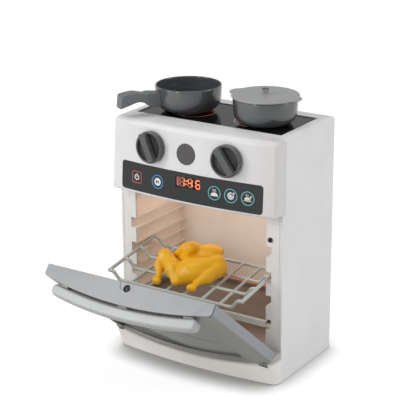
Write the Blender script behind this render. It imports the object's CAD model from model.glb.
"""Toy oven with its door open: finishes, detailed pieces, light and camera.

Lengths are in millimetres in the tables below and in metres in Blender.
X runs across the oven, -Y is its front and +Z is up.
"""

from math import asin, cos, pi, radians, sin, sqrt, tan

import bpy
import numpy as np
from mathutils import Matrix, Vector


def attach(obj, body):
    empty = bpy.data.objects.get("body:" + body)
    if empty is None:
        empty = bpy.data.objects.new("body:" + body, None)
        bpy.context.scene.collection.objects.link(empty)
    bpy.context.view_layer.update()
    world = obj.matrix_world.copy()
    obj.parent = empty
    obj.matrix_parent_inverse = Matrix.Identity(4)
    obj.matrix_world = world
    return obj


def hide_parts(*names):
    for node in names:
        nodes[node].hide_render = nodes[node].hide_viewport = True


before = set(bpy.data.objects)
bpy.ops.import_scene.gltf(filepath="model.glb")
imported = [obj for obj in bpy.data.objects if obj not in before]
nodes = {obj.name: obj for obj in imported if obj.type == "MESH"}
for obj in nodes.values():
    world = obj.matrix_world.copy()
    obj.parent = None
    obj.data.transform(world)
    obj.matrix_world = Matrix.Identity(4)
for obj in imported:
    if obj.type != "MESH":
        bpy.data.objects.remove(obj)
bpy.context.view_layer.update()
MM = 0.001


# ---------------------------------------------------------------- finishes


def colour(code):
    """Linear colour from a six-digit code."""
    parts = [int(code[i : i + 2], 16) / 255 for i in (1, 3, 5)]
    return tuple(c / 12.92 if c <= 0.04045 else ((c + 0.055) / 1.055) ** 2.4 for c in parts) + (1.0,)


class Amount:
    """A shader value that takes part in Python sums."""

    def __init__(self, finish, socket):
        self.finish, self.socket = finish, socket

    def _maths(self, operation, *terms):
        return self.finish.node("ShaderNodeMath", {"operation": operation}, dict(enumerate(terms)))

    def __add__(self, other):
        return self._maths("ADD", self, other)

    __radd__ = __add__

    def __sub__(self, other):
        return self._maths("SUBTRACT", self, other)

    def __rsub__(self, other):
        return self._maths("SUBTRACT", other, self)

    def __mul__(self, other):
        return self._maths("MULTIPLY", self, other)

    __rmul__ = __mul__

    def __truediv__(self, other):
        return self._maths("DIVIDE", self, other)

    def __abs__(self):
        return self._maths("ABSOLUTE", self)

    def wave(self):
        return self._maths("SINE", self)

    def step(self, low, high):
        """0 below low, 1 above high and smooth between."""
        ease = {"interpolation_type": "SMOOTHSTEP"}
        ends = {"Value": self, "From Min": low, "From Max": high}
        return self.finish.node("ShaderNodeMapRange", ease, ends)


class Finish:
    """One material: its shader and what feeds it. Places are in millimetres."""

    def __init__(self, name, tint, roughness, **fixed):
        self.material = bpy.data.materials.new(name)
        self.material.use_nodes = True
        self.tree = self.material.node_tree
        self.shader = self.tree.nodes["Principled BSDF"]
        self.tint = colour(tint)
        self.set("Base Color", self.tint)
        self.set("Roughness", roughness)
        for socket, value in fixed.items():
            self.set(socket.replace("_", " "), value)
        coordinates = self.node("ShaderNodeTexCoord", out="Object")
        scale = {0: coordinates, "Scale": 1 / MM}
        self.place = self.node("ShaderNodeVectorMath", {"operation": "SCALE"}, scale)
        split = self.node("ShaderNodeSeparateXYZ", {}, {0: self.place}).socket.node
        self.x, self.y, self.z = (Amount(self, split.outputs[i]) for i in range(3))

    def node(self, kind, settings=None, inputs=None, out=0):
        made = self.tree.nodes.new(kind)
        for key, value in (settings or {}).items():
            setattr(made, key, value)
        for key, value in (inputs or {}).items():
            if isinstance(value, Amount):
                self.tree.links.new(value.socket, made.inputs[key])
            elif value is not None:
                made.inputs[key].default_value = value
        return Amount(self, made.outputs[out])

    def set(self, socket, value):
        if isinstance(value, Amount):
            self.tree.links.new(value.socket, self.shader.inputs[socket])
        else:
            self.shader.inputs[socket].default_value = value
        return self

    def mottle(self, size, detail=2.0):
        """Soft random pattern from 0 to 1, with spots about size millimetres across."""
        spots = {"Vector": self.place, "Scale": 1.0 / size, "Detail": detail}
        return self.node("ShaderNodeTexNoise", {}, spots)

    def blend(self, amount, first, second):
        """Colour between two, by an amount from 0 to 1."""
        return self.node("ShaderNodeMix", {"data_type": "RGBA"}, {0: amount, 6: first, 7: second}, out=2)

    def flow_marks(self, tint, shift, share, size=38):
        """A tint with faint wide marks, as the melt leaves them in a mould."""
        return self.blend(self.mottle(size, 3).step(0.35, 0.75) * share, tint, colour(shift))

    def bump(self, height, depth, under=None):
        """Height from 0 to 1, raised by depth millimetres."""
        relief = {"Strength": 1.0, "Distance": depth * MM, "Height": height, "Normal": under}
        return self.node("ShaderNodeBump", {}, relief)

    def soften(self, radius):
        """Catches light on an edge as if it were rounded."""
        return self.node("ShaderNodeBevel", {"samples": 4}, {"Radius": radius * MM})


def moulded(name, tint, roughness, grain=0.012, shift="#000000", share=0.06, edge=0.35, **fixed):
    """Moulded plastic: spark-eroded grain, faint flow marks, softened edges."""
    finish = Finish(name, tint, roughness, **fixed)
    finish.set("Base Color", finish.flow_marks(finish.tint, shift, share))
    finish.set("Roughness", roughness - 0.05 + 0.1 * finish.mottle(9, 3))
    grain_height = finish.mottle(0.45, 3) + 0.6 * finish.mottle(3.5, 2)
    finish.set("Normal", finish.bump(grain_height, grain, finish.soften(edge)))
    return finish


def glossy(name, tint, roughness, edge=0.3, ripple=0.004, **fixed):
    """Polished plastic with a very slight wave and dust-fine haze."""
    finish = Finish(name, tint, roughness, **fixed)
    finish.set("Roughness", roughness + 0.05 * finish.mottle(14, 4).step(0.45, 0.8))
    finish.set("Normal", finish.bump(finish.mottle(16, 1), ripple, finish.soften(edge)))
    return finish


FINISHES = {
    "white": moulded("white_shell_plastic", "#e0dfe0", 0.4, shift="#d0cecd", share=0.25, edge=0.6),
    "trim": moulded("white_frame_plastic", "#e5e2df", 0.42, shift="#d6d1cb", share=0.25, edge=0.4),
    "liner": moulded("warm_liner_plastic", "#e8dfd8", 0.5, shift="#dccabb", share=0.5, edge=0.4),
    "door": moulded(
        "silver_grey_paint", "#85867f", 0.36,
        grain=0.006, shift="#6f716c", share=0.2, edge=0.2, Metallic=0.25,
    ),
    "cap": moulded("light_grey_cap", "#a1a2a4", 0.42, shift="#939597", share=0.25, edge=0.12),
    "inner": moulded("inner_panel_grey", "#9a9b98", 0.45, shift="#8b8c89", share=0.25),
    "silver": moulded(
        "silver_handle", "#a8aaa9", 0.36,
        grain=0.005, shift="#a4a8a1", share=0.25, edge=0.6, Metallic=0.15,
    ),
    "rack": moulded(
        "rack_silver_plastic", "#b9bdb8", 0.38,
        grain=0.006, shift="#8f9389", share=0.3, edge=0.3, Metallic=0.1,
    ),
    "tray": moulded("tray_silver_plastic", "#dcdeda", 0.4, grain=0.006, edge=0.3),
    "console": moulded("white_console_plastic", "#e0dfe0", 0.4, shift="#d0cecd", share=0.25, edge=0.6),
    "sill": moulded("white_sill_plastic", "#eae7e3", 0.42, edge=0.4),
    "recess": moulded(
        "knob_recess_grey", "#303133", 0.4,
        grain=0.008, shift="#27282a", share=0.3, edge=0.35,
    ),
    "pan": glossy(
        "pan_grey_plastic", "#484a4c", 0.15,
        edge=0.4, ripple=0.01, Coat_Weight=1.0, Coat_Roughness=0.05,
    ),
    "pan_handle": moulded(
        "pan_handle_grey", "#66696b", 0.34,
        grain=0.006, shift="#585b5d", share=0.3, edge=0.4,
    ),
    "lid": moulded(
        "lid_grey_plastic", "#9a9b9c", 0.4,
        grain=0.008, shift="#8d8e8f", share=0.25, edge=0.4,
    ),
    "knob": moulded(
        "knob_grey_plastic", "#545556", 0.28,
        grain=0.008, shift="#48494a", share=0.3, edge=0.35,
    ),
    "hob": glossy("hob_black_glaze", "#121314", 0.08),
    "burner": glossy("burner_red_lens", "#6e0d14", 0.12),
    "outline": moulded("printed_ring", "#d8cfc9", 0.5),
    "panel": glossy("panel_dark_lens", "#1c1f21", 0.3),
    "window": glossy("door_window_tint", "#2e3131", 0.16, Specular_IOR_Level=0.015),
    "badge": moulded("badge_grey", "#4e4b4b", 0.42, edge=0.2),
    "button": glossy("button_dark_lens", "#1c1f21", 0.3, edge=0.15),
    "rubber": moulded("foot_rubber", "#2c2c2c", 0.8, grain=0.03),
    "steel": moulded("plated_steel", "#b5b8bb", 0.3, grain=0.003, Metallic=1.0),
    "board": glossy("board_green", "#1f5a38", 0.35),
    "black": moulded("black_part_plastic", "#1b1b1c", 0.45),
    "blue": moulded("switch_blue_plastic", "#34456a", 0.4),
    "cell": glossy("cell_wrap", "#3a688f", 0.25),
    "contact": moulded("contact_nickel", "#c9ccd0", 0.25, grain=0.003, Metallic=1.0),
    "wire": moulded("wire_jacket", "#b5322c", 0.5),
    "chicken": moulded(
        "roast_golden_plastic", "#eeb008", 0.34,
        grain=0.006, shift="#dc9204", share=0.3, edge=0.3,
    ),
}


def door_heights(finish):
    """Height up the open door from its hinge, and distance out from its back."""
    y, z = finish.y - HINGE[0], finish.z - HINGE[1]
    up = z * cos(DOOR_OPEN) - y * sin(DOOR_OPEN)
    return up, -1 * (y * cos(DOOR_OPEN) + z * sin(DOOR_OPEN))


def ribs(up, low, high):
    """Fine lines up the door, from 0 to 1."""
    return (0.5 + 0.5 * (up * (2 * pi / RIB_PITCH)).wave()).step(low, high)


def shade_shell():
    """Cooler ends on the door and ribs along its lower rail."""
    finish = FINISHES["door"]
    up, out = door_heights(finish)
    paint = finish.flow_marks(finish.tint, "#6f716c", 0.2)
    ends = finish.blend(abs(finish.x).step(DOOR_END - 0.35, DOOR_END), paint, colour("#93959a"))
    below_window = 1 - up.step(WINDOW_FOOT - 0.1, WINDOW_FOOT + 0.3)
    rail = below_window * (1 - abs(finish.x).step(70, 74)) * out.step(3, 4)
    lines = finish.blend(ribs(up, 0.3, 0.8) * up.step(10.5, 12), colour("#9a9791"), colour("#333332"))
    finish.set("Base Color", finish.blend(rail, ends, lines))


def shade_cap():
    """Dark edge round the door's top cap."""
    finish = FINISHES["cap"]
    up = door_heights(finish)[0]
    flat = finish.flow_marks(finish.tint, "#939597", 0.25)
    finish.set("Base Color", finish.blend(up.step(CAP_FACE - 0.7, CAP_FACE - 0.3), colour("#4c4e50"), flat))


def shade_window():
    """Dark end, pale middle, ribs and one fine line on the tinted pane."""
    finish = FINISHES["window"]
    up = door_heights(finish)[0]
    dark_lean, dark_height = 1.05, 57.7
    line_fall, line_height, line_x = 0.487, 76.7, 20
    across = finish.x + dark_lean * (up - dark_height)
    pale = across.step(-34, 0) * (1 - up.step(112, 128))
    low = 1 - up.step(24, 40)
    middle = finish.blend(low, colour("#8b8b89"), colour("#6c6c69"))
    tone = finish.blend(pale, colour("#18191a"), middle)
    tone = finish.blend(ribs(up, 0.35, 0.8) * (1 - up.step(28, 34)) * 0.7, tone, colour("#2c2d2d"))
    line = 1 - abs(up - line_height + line_fall * (finish.x - line_x)).step(0.3, 0.8)
    line = line * finish.x.step(17, 21) * (1 - finish.x.step(56, 60))
    finish.set("Base Color", finish.blend(line, tone, colour("#232424")))


def shade_plastics():
    """Tones that follow the place on the lid, the sill, the console and the tray."""
    finish = FINISHES["lid"]
    plate = finish.flow_marks(finish.tint, "#8d8e8f", 0.25)
    grip_top = finish.z.step(LID_GRIP_TOP - 0.75, LID_GRIP_TOP - 0.35)
    finish.set("Base Color", finish.blend(grip_top, plate, colour("#4b4c4d")))
    finish = FINISHES["sill"]
    front = finish.flow_marks(finish.tint, "#d6d1cb", 0.25)
    rise = finish.z - finish.x * finish.x / (2 * SILL_DIP)
    finish.set("Base Color", finish.blend(rise.step(14.5, 19.5) * 0.75, front, colour("#8f8a84")))
    finish = FINISHES["console"]
    face = finish.flow_marks(finish.tint, "#d0cecd", 0.25)
    finish.set("Base Color", finish.blend(finish.x.step(45, 92) * 0.5, face, colour("#c2bdbb")))
    finish = FINISHES["tray"]
    basin = finish.flow_marks(colour("#7d7067"), "#685c54", 0.4, size=20)
    finish.set("Base Color", finish.blend(finish.y.step(-40.5, -38.5), finish.tint, basin))


FINISHES["glow"] = moulded("glow_lens", "#ea8f68", 0.4)
FINISHES["glow"].set("Emission Color", colour("#ff9460")).set("Emission Strength", 0.2)
FINISHES["liner"].set("Emission Color", colour("#ffd6b4")).set("Emission Strength", 0.06)
FINISHES["lamp"] = moulded("lamp_lens", "#fff0d8", 0.4)
FINISHES["lamp"].set("Emission Color", colour("#ffd9a8")).set("Emission Strength", 1.2)
FINISHES["digit"] = moulded("lit_digit", "#ff8a50", 0.4)
FINISHES["digit"].set("Emission Color", colour("#ff7a48")).set("Emission Strength", 3.0)
FINISHES["display"] = glossy("display_tint", "#3a1a18", 0.12, Alpha=0.22)

PRINTS = {
    "red_print": "#d06a64",
    "white_print": "#e4e6e6",
    "blue_print": "#4c8fc4",
    "teal_print": "#6bb9ba",
    "dark_print": "#2a2d2f",
}
for print_name, tint in PRINTS.items():
    FINISHES[print_name] = moulded(print_name, tint, 0.5, grain=0.002, edge=0.05)
FINISHES["ghost"] = moulded("unlit_segment", "#a08a86", 0.5, grain=0.002)
FINISHES["ghost"].set("Emission Color", colour("#c8766e")).set("Emission Strength", 0.9)
FINISHES["faint_digit"] = moulded("faint_segment", "#ff9a80", 0.4)
FINISHES["faint_digit"].set("Emission Color", colour("#ff7a60")).set("Emission Strength", 1.0)
FINISHES["tick"] = moulded("moulded_tick", "#c4c2c0", 0.5, grain=0.002)
FINISHES["ball"] = glossy("latch_ball_gloss", "#3c3d3f", 0.12)

WEARS = {
    "white": ["body_shell", "rear_cover", "battery_door", "battery_box"],
    "console": ["console_cover"],
    "sill": ["front_sill"],
    "trim": ["front_frame", "base_plate"],
    "liner": ["liner_left", "liner_right", "liner_back", "liner_floor", "liner_ceiling"],
    "door": ["door_shell"],
    "cap": ["door_top_cap", "latch_tongue"],
    "ball": ["latch_ball"],
    "inner": ["door_inner_panel"],
    "silver": ["door_handle"],
    "rack": ["wire_rack"],
    "tray": ["baking_tray"],
    "pan": ["pan_bowl", "pot_bowl"],
    "pan_handle": ["pan_handle"],
    "lid": ["pot_lid"],
    "knob": ["knob_left", "knob_right"],
    "hob": ["hob_panel"],
    "burner": ["burner_lenses"],
    "outline": ["burner_outlines"],
    "panel": ["control_panel"],
    "window": ["door_window"],
    "badge": ["badge_disc"],
    "button": ["power_button", "play_button", "steam_button", "pizza_button", "roast_button"],
    "rubber": ["rubber_feet"],
    "steel": ["case_screws", "hinge_pins"],
    "board": ["console_board", "main_board", "hob_light_board", "glow_light_board"],
    "black": ["display_module", "tact_switches", "speaker", "door_switch", "door_switch_plunger"],
    "blue": ["rotary_switches"],
    "cell": ["battery_cells"],
    "contact": ["battery_contacts"],
    "wire": ["wire_harness"],
    "chicken": ["roast_chicken"],
    "glow": ["glow_strip"],
    "lamp": ["cavity_lamp_lens"],
    "digit": ["display_digits"],
    "display": ["display_window"],
}


def dress_nodes():
    """Gives each CAD node its finish and smooth shading across its curves."""
    for key, names in WEARS.items():
        for name in names:
            mesh = nodes[name].data
            mesh.materials.clear()
            mesh.materials.append(FINISHES[key].material)
            mesh.polygons.foreach_set("use_smooth", [True] * len(mesh.polygons))
            mesh.set_sharp_from_angle(angle=radians(32))


# ---------------------------------------------------------------- mesh making


def piece(name, verts, faces, body, finish, smooth=32, replaces=()):
    """Adds a mesh given in millimetres, riding on a CAD body."""
    mesh = bpy.data.meshes.new(name)
    places = [tuple(float(c) * MM for c in v) for v in verts]
    mesh.from_pydata(places, [], [tuple(int(i) for i in f) for f in faces])
    mesh.validate()
    made = bpy.data.objects.new(name, mesh)
    bpy.context.scene.collection.objects.link(made)
    mesh.materials.append(FINISHES[finish].material)
    if smooth:
        mesh.polygons.foreach_set("use_smooth", [True] * len(mesh.polygons))
        mesh.set_sharp_from_angle(angle=radians(smooth))
    if replaces:
        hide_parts(*replaces)
    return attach(made, body)


def lathe(name, outline, centre, body, finish, count=96, **more):
    """Turns an outline of (radius, height) pairs about an upright axis."""
    verts, faces = [], []
    for r, h in outline:
        for k in range(count):
            a = 2 * pi * k / count
            verts.append((centre[0] + r * cos(a), centre[1] + r * sin(a), centre[2] + h))
    for i in range(len(outline) - 1):
        for k in range(count):
            n = (k + 1) % count
            faces.append((i * count + k, i * count + n, (i + 1) * count + n, (i + 1) * count + k))
    faces.append(tuple(range(count - 1, -1, -1)))
    faces.append(tuple((len(outline) - 1) * count + k for k in range(count)))
    return piece(name, verts, faces, body, finish, **more)


def loft(name, rings, body, finish, **more):
    """Skins a row of rings that have the same number of points, and closes both ends."""
    count = len(rings[0])
    verts = [p for ring in rings for p in ring]
    faces = []
    for i in range(len(rings) - 1):
        for k in range(count):
            n = (k + 1) % count
            faces.append((i * count + k, i * count + n, (i + 1) * count + n, (i + 1) * count + k))
    faces.append(tuple(range(count - 1, -1, -1)))
    faces.append(tuple((len(rings) - 1) * count + k for k in range(count)))
    return piece(name, verts, faces, body, finish, **more)


def skin_of(field, low, high, step):
    """Smooth skin where a field of distances crosses zero: its points and its faces."""
    axes = [np.arange(low[i], high[i] + step, step) for i in range(3)]
    shape = tuple(len(a) for a in axes)
    grid = np.stack(np.meshgrid(*axes, indexing="ij"), -1)
    depth = field(grid.reshape(-1, 3)).reshape(shape)
    inside = depth < 0
    cells = tuple(n - 1 for n in shape)
    total, count = np.zeros(cells + (3,)), np.zeros(cells)
    crossings = []
    for axis in range(3):
        near = tuple(slice(0, -1) if i == axis else slice(None) for i in range(3))
        far = tuple(slice(1, None) if i == axis else slice(None) for i in range(3))
        crossing = inside[near] != inside[far]
        share = np.where(crossing, depth[near] / np.where(crossing, depth[near] - depth[far], 1), 0)
        points = grid[near].copy()
        points[..., axis] += share * step
        crossings.append((crossing, inside[near]))
        others = [i for i in range(3) if i != axis]
        for shift in range(4):
            window = [slice(None)] * 3
            for bit, other in enumerate(others):
                offset = shift >> bit & 1
                window[other] = slice(offset, offset + cells[other])
            window = tuple(window)
            total += np.where(crossing[window][..., None], points[window], 0)
            count += crossing[window]
    active = count > 0
    number = np.cumsum(active).reshape(cells) - 1
    verts = total[active] / count[active][:, None]
    faces = []
    for axis, (crossing, starts_inside) in enumerate(crossings):
        b, c = (axis + 1) % 3, (axis + 2) % 3
        where = np.argwhere(crossing)
        past_low = (where[:, b] > 0) & (where[:, c] > 0)
        before_high = (where[:, b] < shape[b] - 1) & (where[:, c] < shape[c] - 1)
        where = where[past_low & before_high]
        corner = []
        for db, dc in ((1, 1), (0, 1), (0, 0), (1, 0)):
            cell = where.copy()
            cell[:, b] -= db
            cell[:, c] -= dc
            corner.append(number[tuple(cell.T)])
        quads = np.stack(corner, 1)
        outward = starts_inside[tuple(where.T)]
        faces.append(np.where(outward[:, None], quads, quads[:, ::-1]))
    for _ in range(2):
        here = field(verts)
        slope = np.stack(
            [(field(verts + e) - field(verts - e)) / 0.1 for e in np.eye(3) * 0.05], 1
        )
        verts = verts - slope * (here / np.maximum((slope**2).sum(1), 0.2))[:, None]
    return verts, np.concatenate(faces)


def moulding(name, verts, faces, body, finish, smooth=40):
    """Moulded piece that takes the place of the CAD node with its name."""
    made = piece(name + "_moulding", verts, faces, body, finish, smooth=smooth, replaces=[name])
    if not smooth:
        made.data.polygons.foreach_set("use_smooth", [True] * len(made.data.polygons))
    return made


def length(v):
    return np.sqrt((v * v).sum(-1))


def limb(p, a, b, ra, rb):
    """Distance to a rod that tapers between two points."""
    a, b = np.array(a, float), np.array(b, float)
    along = np.clip(((p - a) @ (b - a)) / ((b - a) @ (b - a)), 0, 1)
    return length(p - a - along[:, None] * (b - a)) - (ra + (rb - ra) * along)


def lump(p, centre, radii, turn=(0, 0, 0)):
    """Distance to an ellipsoid, turned by degrees about X, Y and Z."""
    about = [Matrix.Rotation(radians(turn[i]), 3, "XYZ"[i]) for i in range(3)]
    axes = np.array(about[2] @ about[1] @ about[0])
    q = (p - np.array(centre, float)) @ axes
    scaled = length(q / np.array(radii, float))
    return scaled * (scaled - 1) / np.maximum(length(q / np.array(radii, float) ** 2), 1e-6)


def slab(p, centre, half, r):
    """Distance to a box with rounded edges."""
    q = np.abs(p - np.array(centre, float)) - (np.array(half, float) - r)
    return length(np.maximum(q, 0)) + np.minimum(q.max(1), 0) - r


def puck(p, centre, radius, half, r):
    """Distance to a disc about Z with rounded edges."""
    q = p - np.array(centre, float)
    d = np.stack([np.hypot(q[:, 0], q[:, 1]) - radius + r, np.abs(q[:, 2]) - half + r], 1)
    return np.minimum(d.max(1), 0) + length(np.maximum(d, 0)) - r


def join(a, b, k=0.0):
    """Union of two fields with a fillet of about k."""
    if k == 0:
        return np.minimum(a, b)
    h = np.maximum(k - np.abs(a - b), 0) / k
    return np.minimum(a, b) - h * h * k / 4


def carve(a, b, k=0.0):
    """The first field without the second, with a fillet of about k."""
    return -join(-a, b, k)


def profile_distance(points, outline):
    """Signed distance from 2-D points to a closed outline."""
    outline = np.array(outline, float)
    best = np.full(len(points), 1e9)
    sign = np.ones(len(points))
    for a, b in zip(outline, np.roll(outline, -1, 0)):
        edge = b - a
        w = points - a
        t = np.clip((w @ edge) / (edge @ edge), 0, 1)
        best = np.minimum(best, ((w - t[:, None] * edge) ** 2).sum(1))
        up, down = points[:, 1] >= a[1], points[:, 1] < b[1]
        left = edge[0] * w[:, 1] > edge[1] * w[:, 0]
        sign = np.where((up & down & left) | (~up & ~down & ~left), -sign, sign)
    return sign * np.sqrt(best)


def smooth_line(points, count=8):
    """Rounds a row of points with a curve through them."""
    points = [np.array(p, float) for p in points]
    padded = [2 * points[0] - points[1]] + points + [2 * points[-1] - points[-2]]
    line = []
    for i in range(1, len(padded) - 2):
        a, b, c, d = padded[i - 1 : i + 3]
        for k in range(count):
            t = k / count
            square, cube = 2 * a - 5 * b + 4 * c - d, 3 * b - a - 3 * c + d
            line.append(0.5 * (2 * b + (c - a) * t + square * t * t + cube * t**3))
    return line + [points[-1]]


# ---------------------------------------------------------------- shared sizes

# Console face, as in the source: bowed in plan and leaning back
FRONT, CONSOLE_REACH, CONSOLE_LOW, CONSOLE_BOW, CONSOLE_LEAN = -47.1, 20.1, 165.0, 580.0, radians(4)
PANEL_Z, KNOB_Z, KNOB_X = CONSOLE_LOW + 16.5, CONSOLE_LOW + 48.4, 41.0
CLOCK_UP = 4.2
HOB_Z, RING_Y = 234.2, -1.0
# Loose pieces on the hob: their foot, how far each stands from the middle, and the lid's grip
PAN_Z, PAN_X, POT_X = HOB_Z + 0.2, -41.0, 44.0
POT_Y, LID_Z = RING_Y - 1, PAN_Z + 25.2
LID_GRIP_TOP = LID_Z + 7.35
# Door, drawn shut and turned open about its hinge
HINGE, DOOR_OPEN, DOOR_BACK, DOOR_THICK, DOOR_BOW = (-56.6, 22.3), radians(50.1), -47.5, 21.0, 400.0
DOOR_TOP, DOOR_END = 164.5, 89.25
# Heights up the door from its hinge, and the pitch of its fine ribs
CAP_FACE, WINDOW_FOOT, RIB_PITCH = DOOR_TOP - HINGE[1], 21.7, 2.2
# Sill: its foot's reach, its lean, foot and top, its two bows and corner, and how its top dips
SILL_REACH, SILL_LEAN, SILL_FOOT, SILL_TOP = 13.8, radians(26), 0.6, 32.3
SILL_BOWS, SILL_CORNER, SILL_DIP = (577.0, 400.0), 7.5, 540
# Rack, in its own frame with Y to the back and Z up from its grid floor
RACK_PLACE, RACK_TILT = (0, -89.3, 85.9), radians(8.3)


def bow(radius, x):
    return radius - sqrt(radius * radius - x * x)


def on_console(x, z):
    """Place on the console face: its origin, and the ways across, up and outward."""
    y = FRONT - CONSOLE_REACH + (z - CONSOLE_LOW) * tan(CONSOLE_LEAN) + bow(CONSOLE_BOW, x)
    t, l = asin(x / CONSOLE_BOW), CONSOLE_LEAN
    across = (cos(t), sin(t), 0)
    upward = (-sin(l) * sin(t), sin(l) * cos(t), cos(l))
    outward = (cos(l) * sin(t), -cos(l) * cos(t), sin(l))
    return np.array([x, y, z]), np.array([across, upward, outward])


def from_console(points, x, z):
    """Moves points from a place on the console face to the row frame."""
    origin, ways = on_console(x, z)
    return np.array(points, float) @ ways + origin


def from_rack(points):
    p = np.array(points, float)
    y = RACK_PLACE[1] + p[:, 1] * cos(RACK_TILT) - p[:, 2] * sin(RACK_TILT)
    z = RACK_PLACE[2] + p[:, 1] * sin(RACK_TILT) + p[:, 2] * cos(RACK_TILT)
    return np.stack([p[:, 0], y, z], 1)


def open_door(points):
    """Turns points drawn on the shut door to the open door."""
    p = np.array(points, float)
    y, z = p[:, 1] - HINGE[0], p[:, 2] - HINGE[1]
    ahead = HINGE[0] + y * cos(DOOR_OPEN) - z * sin(DOOR_OPEN)
    return np.stack([p[:, 0], ahead, HINGE[1] + y * sin(DOOR_OPEN) + z * cos(DOOR_OPEN)], 1)


# ---------------------------------------------------------------- loose pieces


def chicken_field(p):
    """Roast chicken on its back, in the rack's frame."""
    body = lump(p, (5, 27, 12), (16.5, 15, 12), (0, 0, 40))
    body = join(body, limb(p, (3, 19, 9.5), (-3.2, 9.5, 6.2), 8, 3.4), 5)
    body = join(body, lump(p, (15, 38, 12), (14, 12, 11.5)), 5)
    # breast halves
    left_breast = lump(p, (-5, 43, 22), (11.5, 8.5, 9), (0, 10, 8))
    left_breast = join(left_breast, lump(p, (-7, 40, 13), (13, 10, 11)), 4)
    right_breast = lump(p, (11.5, 46, 21), (13, 10, 9), (0, -4, 12))
    shape = join(join(body, left_breast, 2.2), right_breast, 2.0)
    # folded wings
    shape = join(shape, limb(p, (-3.5, 38, 27.5), (-7.2, 31.5, 18.5), 6.4, 1.4), 0.9)
    shape = join(shape, limb(p, (-20, 36.5, 18), (-12.5, 39, 25.5), 3.2, 3.8), 1.6)
    shape = join(shape, limb(p, (20.5, 49, 24), (20.8, 42.5, 15.5), 4.2, 2.4), 1.0)
    # left leg
    thigh = limb(p, (-27, 29, 20), (-13, 21, 12), 6.0, 8.2)
    thigh = join(thigh, limb(p, (-13, 21, 12), (-5, 9.5, 6.2), 8.2, 3.8), 4)
    shape = join(shape, thigh, 1.6)
    drum = limb(p, (-28.5, 28, 20), (-28.8, 20.5, 12.5), 5.4, 4.8)
    drum = join(drum, limb(p, (-28.8, 20.5, 12.5), (-24.6, 12, 7.2), 4.8, 2.6), 3)
    knuckle = lump(p, (-24.4, 5.3, 5.4), (3.3, 3.3, 3.6))
    knuckle = join(knuckle, lump(p, (-21.4, 4.6, 5.4), (3.0, 3.1, 3.4)), 1.6)
    drum = join(drum, knuckle, 2.6)
    drum = join(drum, limb(p, (-24.6, 12, 7.2), (-23, 6, 6), 2.6, 2.7), 2)
    shape = join(shape, drum, 1.2)
    # right leg
    ridge = limb(p, (0, 16, 11), (12, 28, 16), 6.0, 6.6)
    ridge = join(ridge, limb(p, (12, 28, 16), (24, 41, 17), 6.6, 6.8), 4)
    shape = join(shape, ridge, 2.4)
    drum = limb(p, (24.6, 37.5, 12.5), (19.6, 25, 8.8), 9.0, 6.4)
    drum = join(drum, limb(p, (19.6, 25, 8.8), (15.2, 14.5, 6.4), 6.4, 2.9), 4)
    drum = join(drum, limb(p, (15.2, 14.5, 6.4), (14.8, 8, 5.8), 2.9, 2.7), 2)
    knuckle = lump(p, (13.3, 6.2, 5.4), (3.2, 3.2, 3.6))
    knuckle = join(knuckle, lump(p, (16.3, 6.6, 5.4), (3.1, 3.1, 3.5)), 1.6)
    drum = join(drum, knuckle, 2.2)
    shape = join(shape, drum, 1.0)
    # grill marks on the right breast
    lines = 0.32 * np.sin((p[:, 0] * 0.94 + p[:, 1] * 0.2) * 2 * pi / 1.9)
    near = np.clip(1 - length((p - np.array([11, 39, 24])) / np.array([10, 9, 7])), 0, 1)
    shape = shape + lines * np.clip(near * 3, 0, 1)
    return carve(shape, p[:, 2] - 1.66, 1.0)


def roast_chicken():
    verts, faces = skin_of(chicken_field, (-36, -2, -1), (36, 62, 36), 0.62)
    moulding("roast_chicken", from_rack(verts), faces, "chicken", "chicken", smooth=0)


RACK_HALF, RACK_FLOOR, RACK_RISE, RACK_LONG, WIRE = 73.2, 62.4, 8.3, 75.0, 1.6


def rack_field(p):
    """Moulded wire rack: cross wires with turned-up ends, side rails and long wires."""
    depth = np.full(len(p), 9.0)

    def add(a, b, r, k=0.9):
        low, high = np.minimum(a, b) - r - 2, np.maximum(a, b) + r + 2
        near = ((p > low) & (p < high)).all(1)
        depth[near] = join(depth[near], limb(p[near], a, b, r, r), k)

    for i in range(4):
        y = RACK_LONG * i / 3
        half = [
            (0, y, 0),
            (RACK_FLOOR - 1.8, y, 0),
            (RACK_FLOOR + 0.6, y, 0.9),
            (RACK_HALF - 5.2, y, RACK_RISE - 1.2),
            (RACK_HALF - 2.8, y, RACK_RISE),
            (RACK_HALF, y, RACK_RISE),
        ]
        for s in (-1, 1):
            for a, b in zip(half, half[1:]):
                add(np.array(a) * (s, 1, 1), np.array(b) * (s, 1, 1), WIRE)
    for s in (-1, 1):
        side = s * RACK_HALF
        add(np.array([side, 0, RACK_RISE]), np.array([side, RACK_LONG, RACK_RISE]), WIRE + 0.05)
    for k in range(6):
        x = (k - 2.5) * 19.5
        add(np.array([x, 0, 0.1]), np.array([x, RACK_LONG, 0.1]), WIRE - 0.15)
    return depth


def wire_rack():
    verts, faces = skin_of(rack_field, (-77, -4, -4), (77, 79, 12), 0.55)
    moulding("wire_rack", from_rack(verts), faces, "rack", "rack", smooth=0)


# ---------------------------------------------------------------- controls


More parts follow.
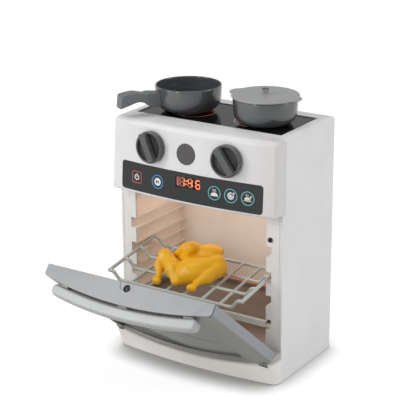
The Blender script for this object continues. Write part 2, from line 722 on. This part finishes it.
def prism(name, shapes, low, high, place, body, finish, **more):
    """Thin raised print: flat shapes, each an outline with or without an inner outline."""
    verts, faces = [], []
    for outer, inner in shapes:
        n, start = len(outer), len(verts)
        for h in (low, high):
            verts += [(x, y, h) for x, y in outer]
        if inner is None:
            faces.append(tuple(start + n + k for k in range(n)))
            faces.append(tuple(start + k for k in range(n - 1, -1, -1)))
            for k in range(n):
                m = (k + 1) % n
                faces.append((start + k, start + m, start + n + m, start + n + k))
            continue
        for h in (low, high):
            verts += [(x, y, h) for x, y in inner]
        for k in range(n):
            m = (k + 1) % n
            faces.append((start + n + k, start + n + m, start + 3 * n + m, start + 3 * n + k))
            faces.append((start + m, start + k, start + 2 * n + k, start + 2 * n + m))
            faces.append((start + k, start + m, start + n + m, start + n + k))
            faces.append((start + 2 * n + m, start + 2 * n + k, start + 3 * n + k, start + 3 * n + m))
    return piece(name, place(verts), faces, body, finish, smooth=0, **more)


def round_outline(half_x, half_y, r, centre=(0, 0), count=9):
    """Rounded rectangle, or a circle when the radius fills it."""
    points = []
    for i, (sx, sy) in enumerate(((1, 1), (-1, 1), (-1, -1), (1, -1))):
        for k in range(count):
            a = pi / 2 * (i + k / (count - 1 if r < half_x else count))
            x, y = sx * (half_x - r) + r * cos(a), sy * (half_y - r) + r * sin(a)
            points.append((centre[0] + x, centre[1] + y))
    return points


def circle_outline(r, centre=(0, 0), count=48):
    turns = [2 * pi * k / count for k in range(count)]
    return [(centre[0] + r * cos(a), centre[1] + r * sin(a)) for a in turns]


def stroke_outline(points, width):
    """Outline of a line of even width with square ends."""
    left, right = [], []
    for i, (x, y) in enumerate(points):
        a, b = points[max(i - 1, 0)], points[min(i + 1, len(points) - 1)]
        dx, dy = b[0] - a[0], b[1] - a[1]
        n = sqrt(dx * dx + dy * dy)
        left.append((x - dy / n * width / 2, y + dx / n * width / 2))
        right.append((x + dy / n * width / 2, y - dx / n * width / 2))
    return right + left[::-1]


def arc_line(r, start, end, centre=(0, 0), count=24):
    turns = [radians(start + (end - start) * k / count) for k in range(count + 1)]
    return [(centre[0] + r * cos(a), centre[1] + r * sin(a)) for a in turns]


def steam(x, y, tall=2.2, width=0.42):
    heights = [k / 10 for k in range(11)]
    return stroke_outline([(x + 0.35 * sin(t * 2 * pi), y + tall * t) for t in heights], width)


def button_prints():
    """Rings and signs on the five buttons."""
    places = {"power": -58.2, "play": -33.4, "steam": 28.8, "pizza": 45.6, "roast": 62.4}

    def show(button, part, shapes, finish, lift=0.58):
        x = places[button]
        place = lambda verts: from_console(verts, x, PANEL_Z)
        prism(button + "_" + part, shapes, 0.4, lift, place, "button_" + button, finish)

    def lines(*strokes):
        return [(stroke_outline(points, width), None) for points, width in strokes]

    over = 0.58 + 0.05
    frame_shape = (round_outline(5.75, 5.75, 2.0), round_outline(5.15, 5.15, 1.5))
    show("power", "outline", [frame_shape], "red_print")
    sign = lines((arc_line(2.35, 125, 415), 0.95), ([(0, 0.3), (0, 3.5)], 0.95))
    show("power", "sign", sign, "white_print")
    show("play", "outline", [(circle_outline(6.7), circle_outline(5.75))], "blue_print")
    show("play", "disc", [(circle_outline(3.7), None)], "white_print")
    arrow = [(-1.7, -1.8), (0.9, 0), (-1.7, 1.8)]
    bar = [(1.1, -1.6), (1.7, -1.6), (1.7, 1.6), (1.1, 1.6)]
    show("play", "sign", [(arrow, None), (bar, None)], "dark_print", over)
    for name in ("steam", "pizza", "roast"):
        show(name, "outline", [(circle_outline(6.65), circle_outline(5.85))], "teal_print")
    # dish with a mound of food
    dome = [pi - pi * k / 20 for k in range(1, 20)]
    mound = [(3.4 * cos(a), -1.9 + 2.5 * sin(a) ** 0.8) for a in dome]
    mound = [(-3.6, -2.2)] + mound + [(3.6, -2.2)]
    dish = lines(([(-4.0, -2.5), (4.0, -2.5)], 0.6)) + [(mound, None)]
    dish += [(steam(d, 1.2, 2.6), None) for d in (-1.4, 0, 1.4)]
    show("steam", "sign", dish, "white_print")
    # round with a slice pulled out
    wedge = [(0.1, 0.1)] + arc_line(3.4, 72, 372)
    cut_slice = [(1.2, 1.1)] + arc_line(3.0, 18, 64, (1.2, 1.1))
    show("pizza", "sign", [(wedge, None), (cut_slice, None)], "white_print")
    spots = ((-1.5, 0.9), (-0.4, -1.7), (1.5, -1.3), (-2.1, -1.0), (-0.2, 2.0))
    show("pizza", "toppings", [(circle_outline(0.55, c, 16), None) for c in spots], "dark_print", over)
    # roast with one leg up
    turns = [2 * pi * k / 30 for k in range(30)]
    body = [(-3.1 * cos(a) - 0.2, -0.7 + (1.9 if sin(a) > 0 else 1.1) * sin(a)) for a in turns]
    roast = [(body, None)] + lines(([(1.6, -0.2), (2.5, 0.9), (3.4, 1.9)], 0.9))
    roast += [(circle_outline(0.7, (3.4, 2.2), 16), None)]
    roast += lines(([(-3.9, -2.3), (3.9, -2.3)], 0.6))
    roast += [(steam(d, 1.7, 2.2), None) for d in (-1.4, 0.2)]
    show("roast", "sign", roast, "white_print")
    show("roast", "folds", lines((arc_line(1.7, 200, 330, (0.4, 0.4)), 0.35)), "dark_print", over)


def ghost_digits():
    """Unlit segments of the clock, and a half digit at its left end."""
    shapes = []
    w, h, t = 4.4, 7.6, 0.95
    for c in (-11.6, -7.1, 1.5, 10.1):
        wide = w if c > -9 else 3.4
        for y in (h / 2, 0, -h / 2):
            shapes.append((round_outline(wide / 2 - 0.6, t / 2, 0.2, (c, y), 3), None))
        for x in (-1, 1):
            for y in (-1, 1):
                centre = (c + x * wide / 2, y * h / 4)
                shapes.append((round_outline(t / 2, h / 4 - 0.6, 0.2, centre, 3), None))
    place = lambda v: from_console(v, 0, PANEL_Z + CLOCK_UP)
    prism("unlit_segments", shapes, -1.95, -1.82, place, "cabinet", "ghost")
    edge = [(round_outline(0.4, 3.6, 0.2, (-11.9, 0), 3), None)]
    prism("edge_segment", edge, -1.9, -1.7, place, "cabinet", "faint_digit")


def knob_field(p, turn):
    """Turning knob: skirt, sunk halves with a rim and a grip bar across."""
    c, s = cos(radians(turn)), sin(radians(turn))
    q = np.stack([p[:, 0] * c + p[:, 1] * s, -p[:, 0] * s + p[:, 1] * c, p[:, 2]], 1)
    shape = puck(q, (0, 0, 3.35), 15.0, 2.85, 0.9)
    r = np.hypot(q[:, 0], q[:, 1])
    # step between the skirt and the cap, then the sunk face
    shape = np.maximum(shape, -(length(np.stack([r - 15.2, q[:, 2] - 2.6], 1)) - 0.45))
    bowl = puck(q, (0, 0, 6.6), 12.9, 3.9, 1.2)
    shape = carve(shape, bowl, 0.9)
    shape = join(shape, length(np.stack([r - 11.3, q[:, 2] - 2.7], 1)) - 0.45, 0.3)
    # grip with a flat top, sloping sides and round ends
    side = np.abs(q[:, 0]) - (3.1 + 0.16 * (10.4 - q[:, 2]))
    end = r - (14.35 - 0.05 * (q[:, 2] - 6))
    grip = np.stack([side, end, q[:, 2] - 10.4, 1.5 - q[:, 2]], 1) + 0.9
    grip = np.minimum(grip.max(1), 0) + length(np.maximum(grip, 0)) - 0.9
    shape = join(shape, grip, 0.7)
    # pointer: short sunk line on the grip's lower end
    ring = np.abs(length(np.stack([q[:, 0], q[:, 1] + 10.6], 1)) - 1.35) - 0.2
    mark = np.maximum(ring, np.maximum(10.15 - q[:, 2], q[:, 1] + 9.9))
    shape = np.maximum(shape, -mark)
    stem = puck(q, (0, 0, -4.5), 3.0, 6.0, 0.3)
    return join(shape, stem)


def knobs():
    for name, body, x, turn in (("knob_left", "knob_l", -KNOB_X, 28), ("knob_right", "knob_r", KNOB_X, 36)):
        verts, faces = skin_of(lambda p: knob_field(p, turn), (-16.2, -16.2, -10.4), (16.2, 16.2, 11.4), 0.36)
        made = moulding(name, from_console(verts, x, KNOB_Z), faces, body, "knob", smooth=38)
        made.data.materials.append(FINISHES["recess"].material)
        middle = verts[faces].mean(1)
        sunk = (middle[:, 2] < 5.0) & (middle[:, 2] > 2.0) & (np.hypot(middle[:, 0], middle[:, 1]) < 12.6)
        made.data.polygons.foreach_set("material_index", sunk.astype(np.int32))


def console_marks():
    """Small moulded ticks beside the knobs."""
    for i, (x, z, a) in enumerate(MARKS):
        line = stroke_outline(arc_line(1.7, a - 50, a + 50, (0, 0), 10), 0.34)
        place = lambda v: from_console(v, x, z)
        prism("console_tick_%d" % (i + 1), [(line, None)], -0.2, 0.1, place, "cabinet", "tick")
    for i, (x, z) in enumerate(POST_MARKS):
        ring = [(circle_outline(1.5, count=24), circle_outline(1.2, count=24))]
        place = lambda v: [(x + a, FRONT - c, z + b) for a, b, c in v]
        prism("post_mark_%d" % (i + 1), ring, -0.1, 0.06, place, "cabinet", "tick")


MARKS = [(-65, 226, 330), (17, 227, 330), (20, 199, 330)]
POST_MARKS = [(81, 40), (80, 156), (-80, 156)]


# ---------------------------------------------------------------- pan and pot


def bowl_side(r, base, curve, high, inset, count=26):
    power = 2 / 2.3
    side = []
    for k in range(count + 1):
        a = radians(90 - 90 * k / count)
        out = base - inset / 2 + (r - base - inset / 2) * max(cos(a), 0) ** power
        side.append((out, inset + (curve - inset) * (1 - sin(a) ** power)))
    return side + [(r - inset + 0.4, high)]


def bowl(name, r, base, curve, high, centre, body, finish):
    """Open bowl with a rounded rim and a fine bead below it."""
    wall = 1.6
    inner = [(0.01, wall)] + bowl_side(r, base, curve, high - 0.8, wall)
    outer = bowl_side(r, base, curve, high - 0.8, 0)
    edge, mid = wall / 2, r + 0.4 - wall / 2
    rim = [(mid - edge * cos(a), high - 0.8 + edge * sin(a)) for a in [pi * k / 10 for k in range(11)]]
    foot = [(base - 1.2, 0.0), (base - 1.8, 0.35), (0.01, 0.35)]
    outline = (inner + rim[1:-1] + outer[::-1] + foot)[::-1]
    shown = {"count": 128, "smooth": 40, "replaces": [name]}
    return lathe(name + "_moulding", outline, centre, body, finish, **shown)


def pans():
    bowl("pan_bowl", 31.3, 15.0, 15.0, 25.6, (PAN_X, RING_Y, PAN_Z), "pan", "pan")
    bowl("pot_bowl", 29.8, 17.4, 14.0, 25.0, (POT_X, POT_Y, PAN_Z), "pot", "pan")


# Side view of the pan's handle: its underside from the bowl outward, its end, and its top back
HANDLE_UNDER = [(33, 7.9), (40, 8.6), (44, 11), (47, 13.2), (51, 14.4), (55, 14.2), (60, 12.8), (66, 11)]
HANDLE_END = [(71, 9.8), (70, 21)]
HANDLE_TOP = [(69.2, 22.2), (66, 23), (62, 23.6), (56, 24), (50, 22.8)]
HANDLE_STEP = [(45.5, 21.7), (43, 22.6), (40, 22.6), (29.6, 21.2)]


def pan_handle():
    """Arched pan handle with rounded edges and a step where it meets the bowl."""
    turn = radians(237)
    out = np.array([cos(turn), sin(turn)])
    side = np.array([-sin(turn), cos(turn)])
    under, top = ([tuple(q) for q in smooth_line(line, 4)] for line in (HANDLE_UNDER, HANDLE_TOP))
    outline = [(29.6, 8.2)] + under + HANDLE_END + top + HANDLE_STEP

    def field(p):
        d = profile_distance(p[:, [0, 2]], outline)
        wide = np.where(p[:, 0] < 43, 5.6, 6.5)
        q = np.stack([d + 1.5, np.abs(p[:, 1]) - wide + 1.5], 1)
        return np.minimum(q.max(1), 0) + length(np.maximum(q, 0)) - 1.5

    verts, faces = skin_of(field, (28, -8, 6), (73, 8, 26), 0.45)
    plan = verts[:, :1] * out + verts[:, 1:2] * side + np.array([PAN_X, RING_Y])
    moulding("pan_handle", np.column_stack([plan, PAN_Z + verts[:, 2]]), faces, "pan", "pan_handle")


def pot_lid():
    turn = radians(2)

    def field(p):
        x = p[:, 0] * cos(turn) + p[:, 1] * sin(turn)
        y = -p[:, 0] * sin(turn) + p[:, 1] * cos(turn)
        disc = np.hypot(x, y) - 31.6
        wide = 7.2 - 0.22 * np.clip(np.abs(x) - 31, 0, 6)
        ear = np.stack([np.abs(x) - 36.4 + 4.5, np.abs(y) - wide + 4.5], 1)
        ear = np.minimum(ear.max(1), 0) + length(np.maximum(ear, 0)) - 4.5
        plan = join(disc, ear, 5.0)
        q = np.stack([plan + 0.75, np.abs(p[:, 2] - 0.9) - 0.9 + 0.75], 1)
        plate = np.minimum(q.max(1), 0) + length(np.maximum(q, 0)) - 0.75
        skirt = np.maximum(np.abs(np.hypot(x, y) - 27.3) - 0.7, np.maximum(-2.2 - p[:, 2], p[:, 2] - 0.5))
        a = radians(33)
        k = np.stack([p[:, 0] * cos(a) + p[:, 1] * sin(a), -p[:, 0] * sin(a) + p[:, 1] * cos(a), p[:, 2]], 1)
        stem = slab(k, (0, 0, 3.4), (2.5, 2.5, 2.6), 0.6)
        top = slab(k, (0, 0, 6.05), (3.3, 3.3, 1.3), 0.7)
        return join(join(plate, skirt), join(stem, top, 0.5), 0.8)

    verts, faces = skin_of(field, (-39, -33.5, -3), (39, 33.5, 8), 0.5)
    moulding("pot_lid", verts + np.array([POT_X, POT_Y, LID_Z]), faces, "lid", "lid")


# ---------------------------------------------------------------- door pieces


def ear_lips():
    """Closes the sill's front below the door's ears, clear of their sweep."""
    slot_side, slot_floor, clear = 76.45, 16.92, 5.3
    far = 89.5 - SILL_CORNER

    def front(x, z):
        share = (z - SILL_FOOT) / (SILL_TOP - SILL_FOOT)
        foot_bow, top_bow = (bow(r, min(x, far)) for r in SILL_BOWS)
        corner = SILL_CORNER - sqrt(SILL_CORNER**2 - max(x - far, 0) ** 2)
        reach = SILL_REACH + (z - SILL_FOOT) * tan(SILL_LEAN)
        return FRONT - reach + foot_bow * (1 - share) + top_bow * share + corner + 0.05

    for side, name in ((-1, "left"), (1, "right")):
        rings = []
        for k in range(9):
            x, top = slot_side + k, 20.0
            for _ in range(12):
                ahead = front(x, top) - HINGE[0]
                top = HINGE[1] - (clear + ahead * cos(DOOR_OPEN)) / sin(DOOR_OPEN)
            inside = [(-58.0, slot_floor), (-60.0, 18.2)]
            outside = [(front(x, top), top), (front(x, slot_floor), slot_floor)]
            rings.append([(side * x, y, z) for y, z in inside + outside])
        loft("ear_lip_" + name, rings, "cabinet", "sill")


def door_handle():
    """Bowed bar with rounded ends, on three short feet."""
    half, thick, high, gap = 77.0, 10.5, 11.0, 1.5
    mid_z = DOOR_TOP - 1.5 - high / 2
    cy = DOOR_BACK - DOOR_THICK + DOOR_BOW
    mid = DOOR_BOW + gap + thick / 2

    def field(p):
        around = np.abs(np.hypot(p[:, 0], p[:, 1] - cy) - mid) - thick / 2
        q = np.stack([around + 4.4, np.abs(p[:, 0]) - half + 4.4], 1)
        plan = np.minimum(q.max(1), 0) + length(np.maximum(q, 0)) - 4.4
        q = np.stack([plan + 2.4, np.abs(p[:, 2] - mid_z) - high / 2 + 2.4], 1)
        bar = np.minimum(q.max(1), 0) + length(np.maximum(q, 0)) - 2.4
        for x in (-half + 10, 0, half - 10):
            y = DOOR_BACK - DOOR_THICK + bow(DOOR_BOW, x)
            bar = join(bar, slab(p, (x, y - 1.2, mid_z), (5, 1.8, 3.5), 0.5))
        return bar

    y0 = DOOR_BACK - DOOR_THICK - gap - thick
    low = (-half - 1, y0 - 1, mid_z - high / 2 - 1)
    verts, faces = skin_of(field, low, (half + 1, y0 + 22, mid_z + high / 2 + 1), 0.6)
    moulding("door_handle", open_door(verts), faces, "door", "silver")


# ---------------------------------------------------------------- stage


def aim_camera():
    """Camera of the photograph, fitted to the oven's edges."""
    turn, lift, roll = radians(33.21), radians(18.84), radians(-0.46)
    back = Vector((sin(turn) * cos(lift), -cos(turn) * cos(lift), sin(lift)))
    right = Vector((cos(turn), sin(turn), 0))
    up = back.cross(right)
    across = cos(roll) * right + sin(roll) * up
    upward = cos(roll) * up - sin(roll) * right
    place = Vector((-29.68, 0, 145.4)) * MM + back * 1351.86 * MM
    data = bpy.data.cameras.new("camera")
    data.lens, data.sensor_width = 125.58, 36
    data.clip_end = 20
    camera = bpy.data.objects.new("camera", data)
    bpy.context.scene.collection.objects.link(camera)
    camera.matrix_world = Matrix(
        [[across[i], upward[i], back[i], place[i]] for i in range(3)] + [[0, 0, 0, 1]]
    )
    bpy.context.scene.camera = camera


def softbox(name, place, aim, size, power, tint="#ffffff"):
    light = bpy.data.lights.new(name, "AREA")
    light.shape = "RECTANGLE"
    light.size, light.size_y = size
    light.energy = power
    light.color = colour(tint)[:3]
    lamp = bpy.data.objects.new(name, light)
    bpy.context.scene.collection.objects.link(lamp)
    lamp.location = place
    lamp.rotation_euler = (Vector(aim) - Vector(place)).to_track_quat("-Z", "Y").to_euler()
    return lamp


def light_stage():
    softbox("key_left", (-1.2, -1.4, 1.1), (0, 0, 0.12), (0.6, 1.2), 13)
    softbox("front_strip", (-0.2, -1.9, 0.75), (0, 0, 0.14), (0.3, 1.2), 9)
    softbox("fill_right", (1.65, 0.5, 0.8), (0, 0, 0.14), (0.6, 1.2), 10)
    softbox("overhead", (-0.1, 0.2, 2.0), (0, 0, 0.1), (1.4, 1.4), 10)
    softbox("cavity_lamp", (0, -0.012, 0.155), (0, -0.006, 0.05), (0.14, 0.07), 0.03, "#fff1e2")
    world = bpy.data.worlds.new("studio")
    world.use_nodes = True
    bpy.context.scene.world = world
    tree = world.node_tree
    tree.nodes.clear()
    ways = tree.nodes.new("ShaderNodeLightPath")
    seen = tree.nodes.new("ShaderNodeBackground")
    seen.inputs["Strength"].default_value = 1.0
    around = tree.nodes.new("ShaderNodeBackground")
    around.inputs["Strength"].default_value = 0.54
    mix = tree.nodes.new("ShaderNodeMixShader")
    out = tree.nodes.new("ShaderNodeOutputWorld")
    tree.links.new(ways.outputs["Is Camera Ray"], mix.inputs[0])
    tree.links.new(around.outputs[0], mix.inputs[1])
    tree.links.new(seen.outputs[0], mix.inputs[2])
    tree.links.new(mix.outputs[0], out.inputs["Surface"])
    bpy.context.scene.view_settings.view_transform = "Standard"


def lay_floor():
    """Near-white floor with a soft contact shade under the oven."""
    mesh = bpy.data.meshes.new("floor")
    reach = 6.0
    corners = [(x * reach, y * reach, 0) for x, y in ((-1, -1), (1, -1), (1, 1), (-1, 1))]
    mesh.from_pydata(corners, [], [(0, 1, 2, 3)])
    floor = bpy.data.objects.new("floor", mesh)
    bpy.context.scene.collection.objects.link(floor)
    finish = Finish("floor_paper", "#f4f3f1", 0.9)
    brightness, shade_reach = 0.86, 32 * MM

    def diffuse(tone):
        return finish.node("ShaderNodeBsdfDiffuse", {}, {"Color": tone})

    def glow(tone):
        return finish.node("ShaderNodeEmission", {}, {"Color": tone, "Strength": brightness})

    def mix(amount, first, second):
        return finish.node("ShaderNodeMixShader", {}, {0: amount, 1: first, 2: second})

    camera_ray = finish.node("ShaderNodeLightPath", out="Is Camera Ray")
    glossy_ray = finish.node("ShaderNodeLightPath", out="Is Glossy Ray")
    # dark patch beside the oven, seen in the door window's left end alone
    beside = finish.x.step(-230, -170) * (1 - finish.x.step(-100, -60))
    beside = beside * finish.y.step(-110, -70) * (1 - finish.y.step(20, 60))
    lit = mix(beside * glossy_ray, diffuse(colour("#f2f2f1")), diffuse(colour("#3a3a39")))
    # contact shade where the oven stands close
    close = {"Distance": shade_reach}
    near = finish.node("ShaderNodeAmbientOcclusion", {"samples": 16}, close, out="AO")
    shade = mix(near.step(0.2, 0.98), glow(colour("#5e5c5a")), glow((1, 1, 1, 1)))
    seen = finish.node("ShaderNodeAddShader", {}, {0: diffuse((0.25, 0.25, 0.25, 1)), 1: shade})
    mixed = mix(camera_ray, lit, seen)
    finish.tree.links.new(mixed.socket, finish.tree.nodes["Material Output"].inputs["Surface"])
    mesh.materials.append(finish.material)


shade_shell()
shade_cap()
shade_window()
shade_plastics()
dress_nodes()
roast_chicken()
wire_rack()
knobs()
button_prints()
ghost_digits()
console_marks()
pans()
pan_handle()
pot_lid()
door_handle()
ear_lips()
aim_camera()
light_stage()
lay_floor()
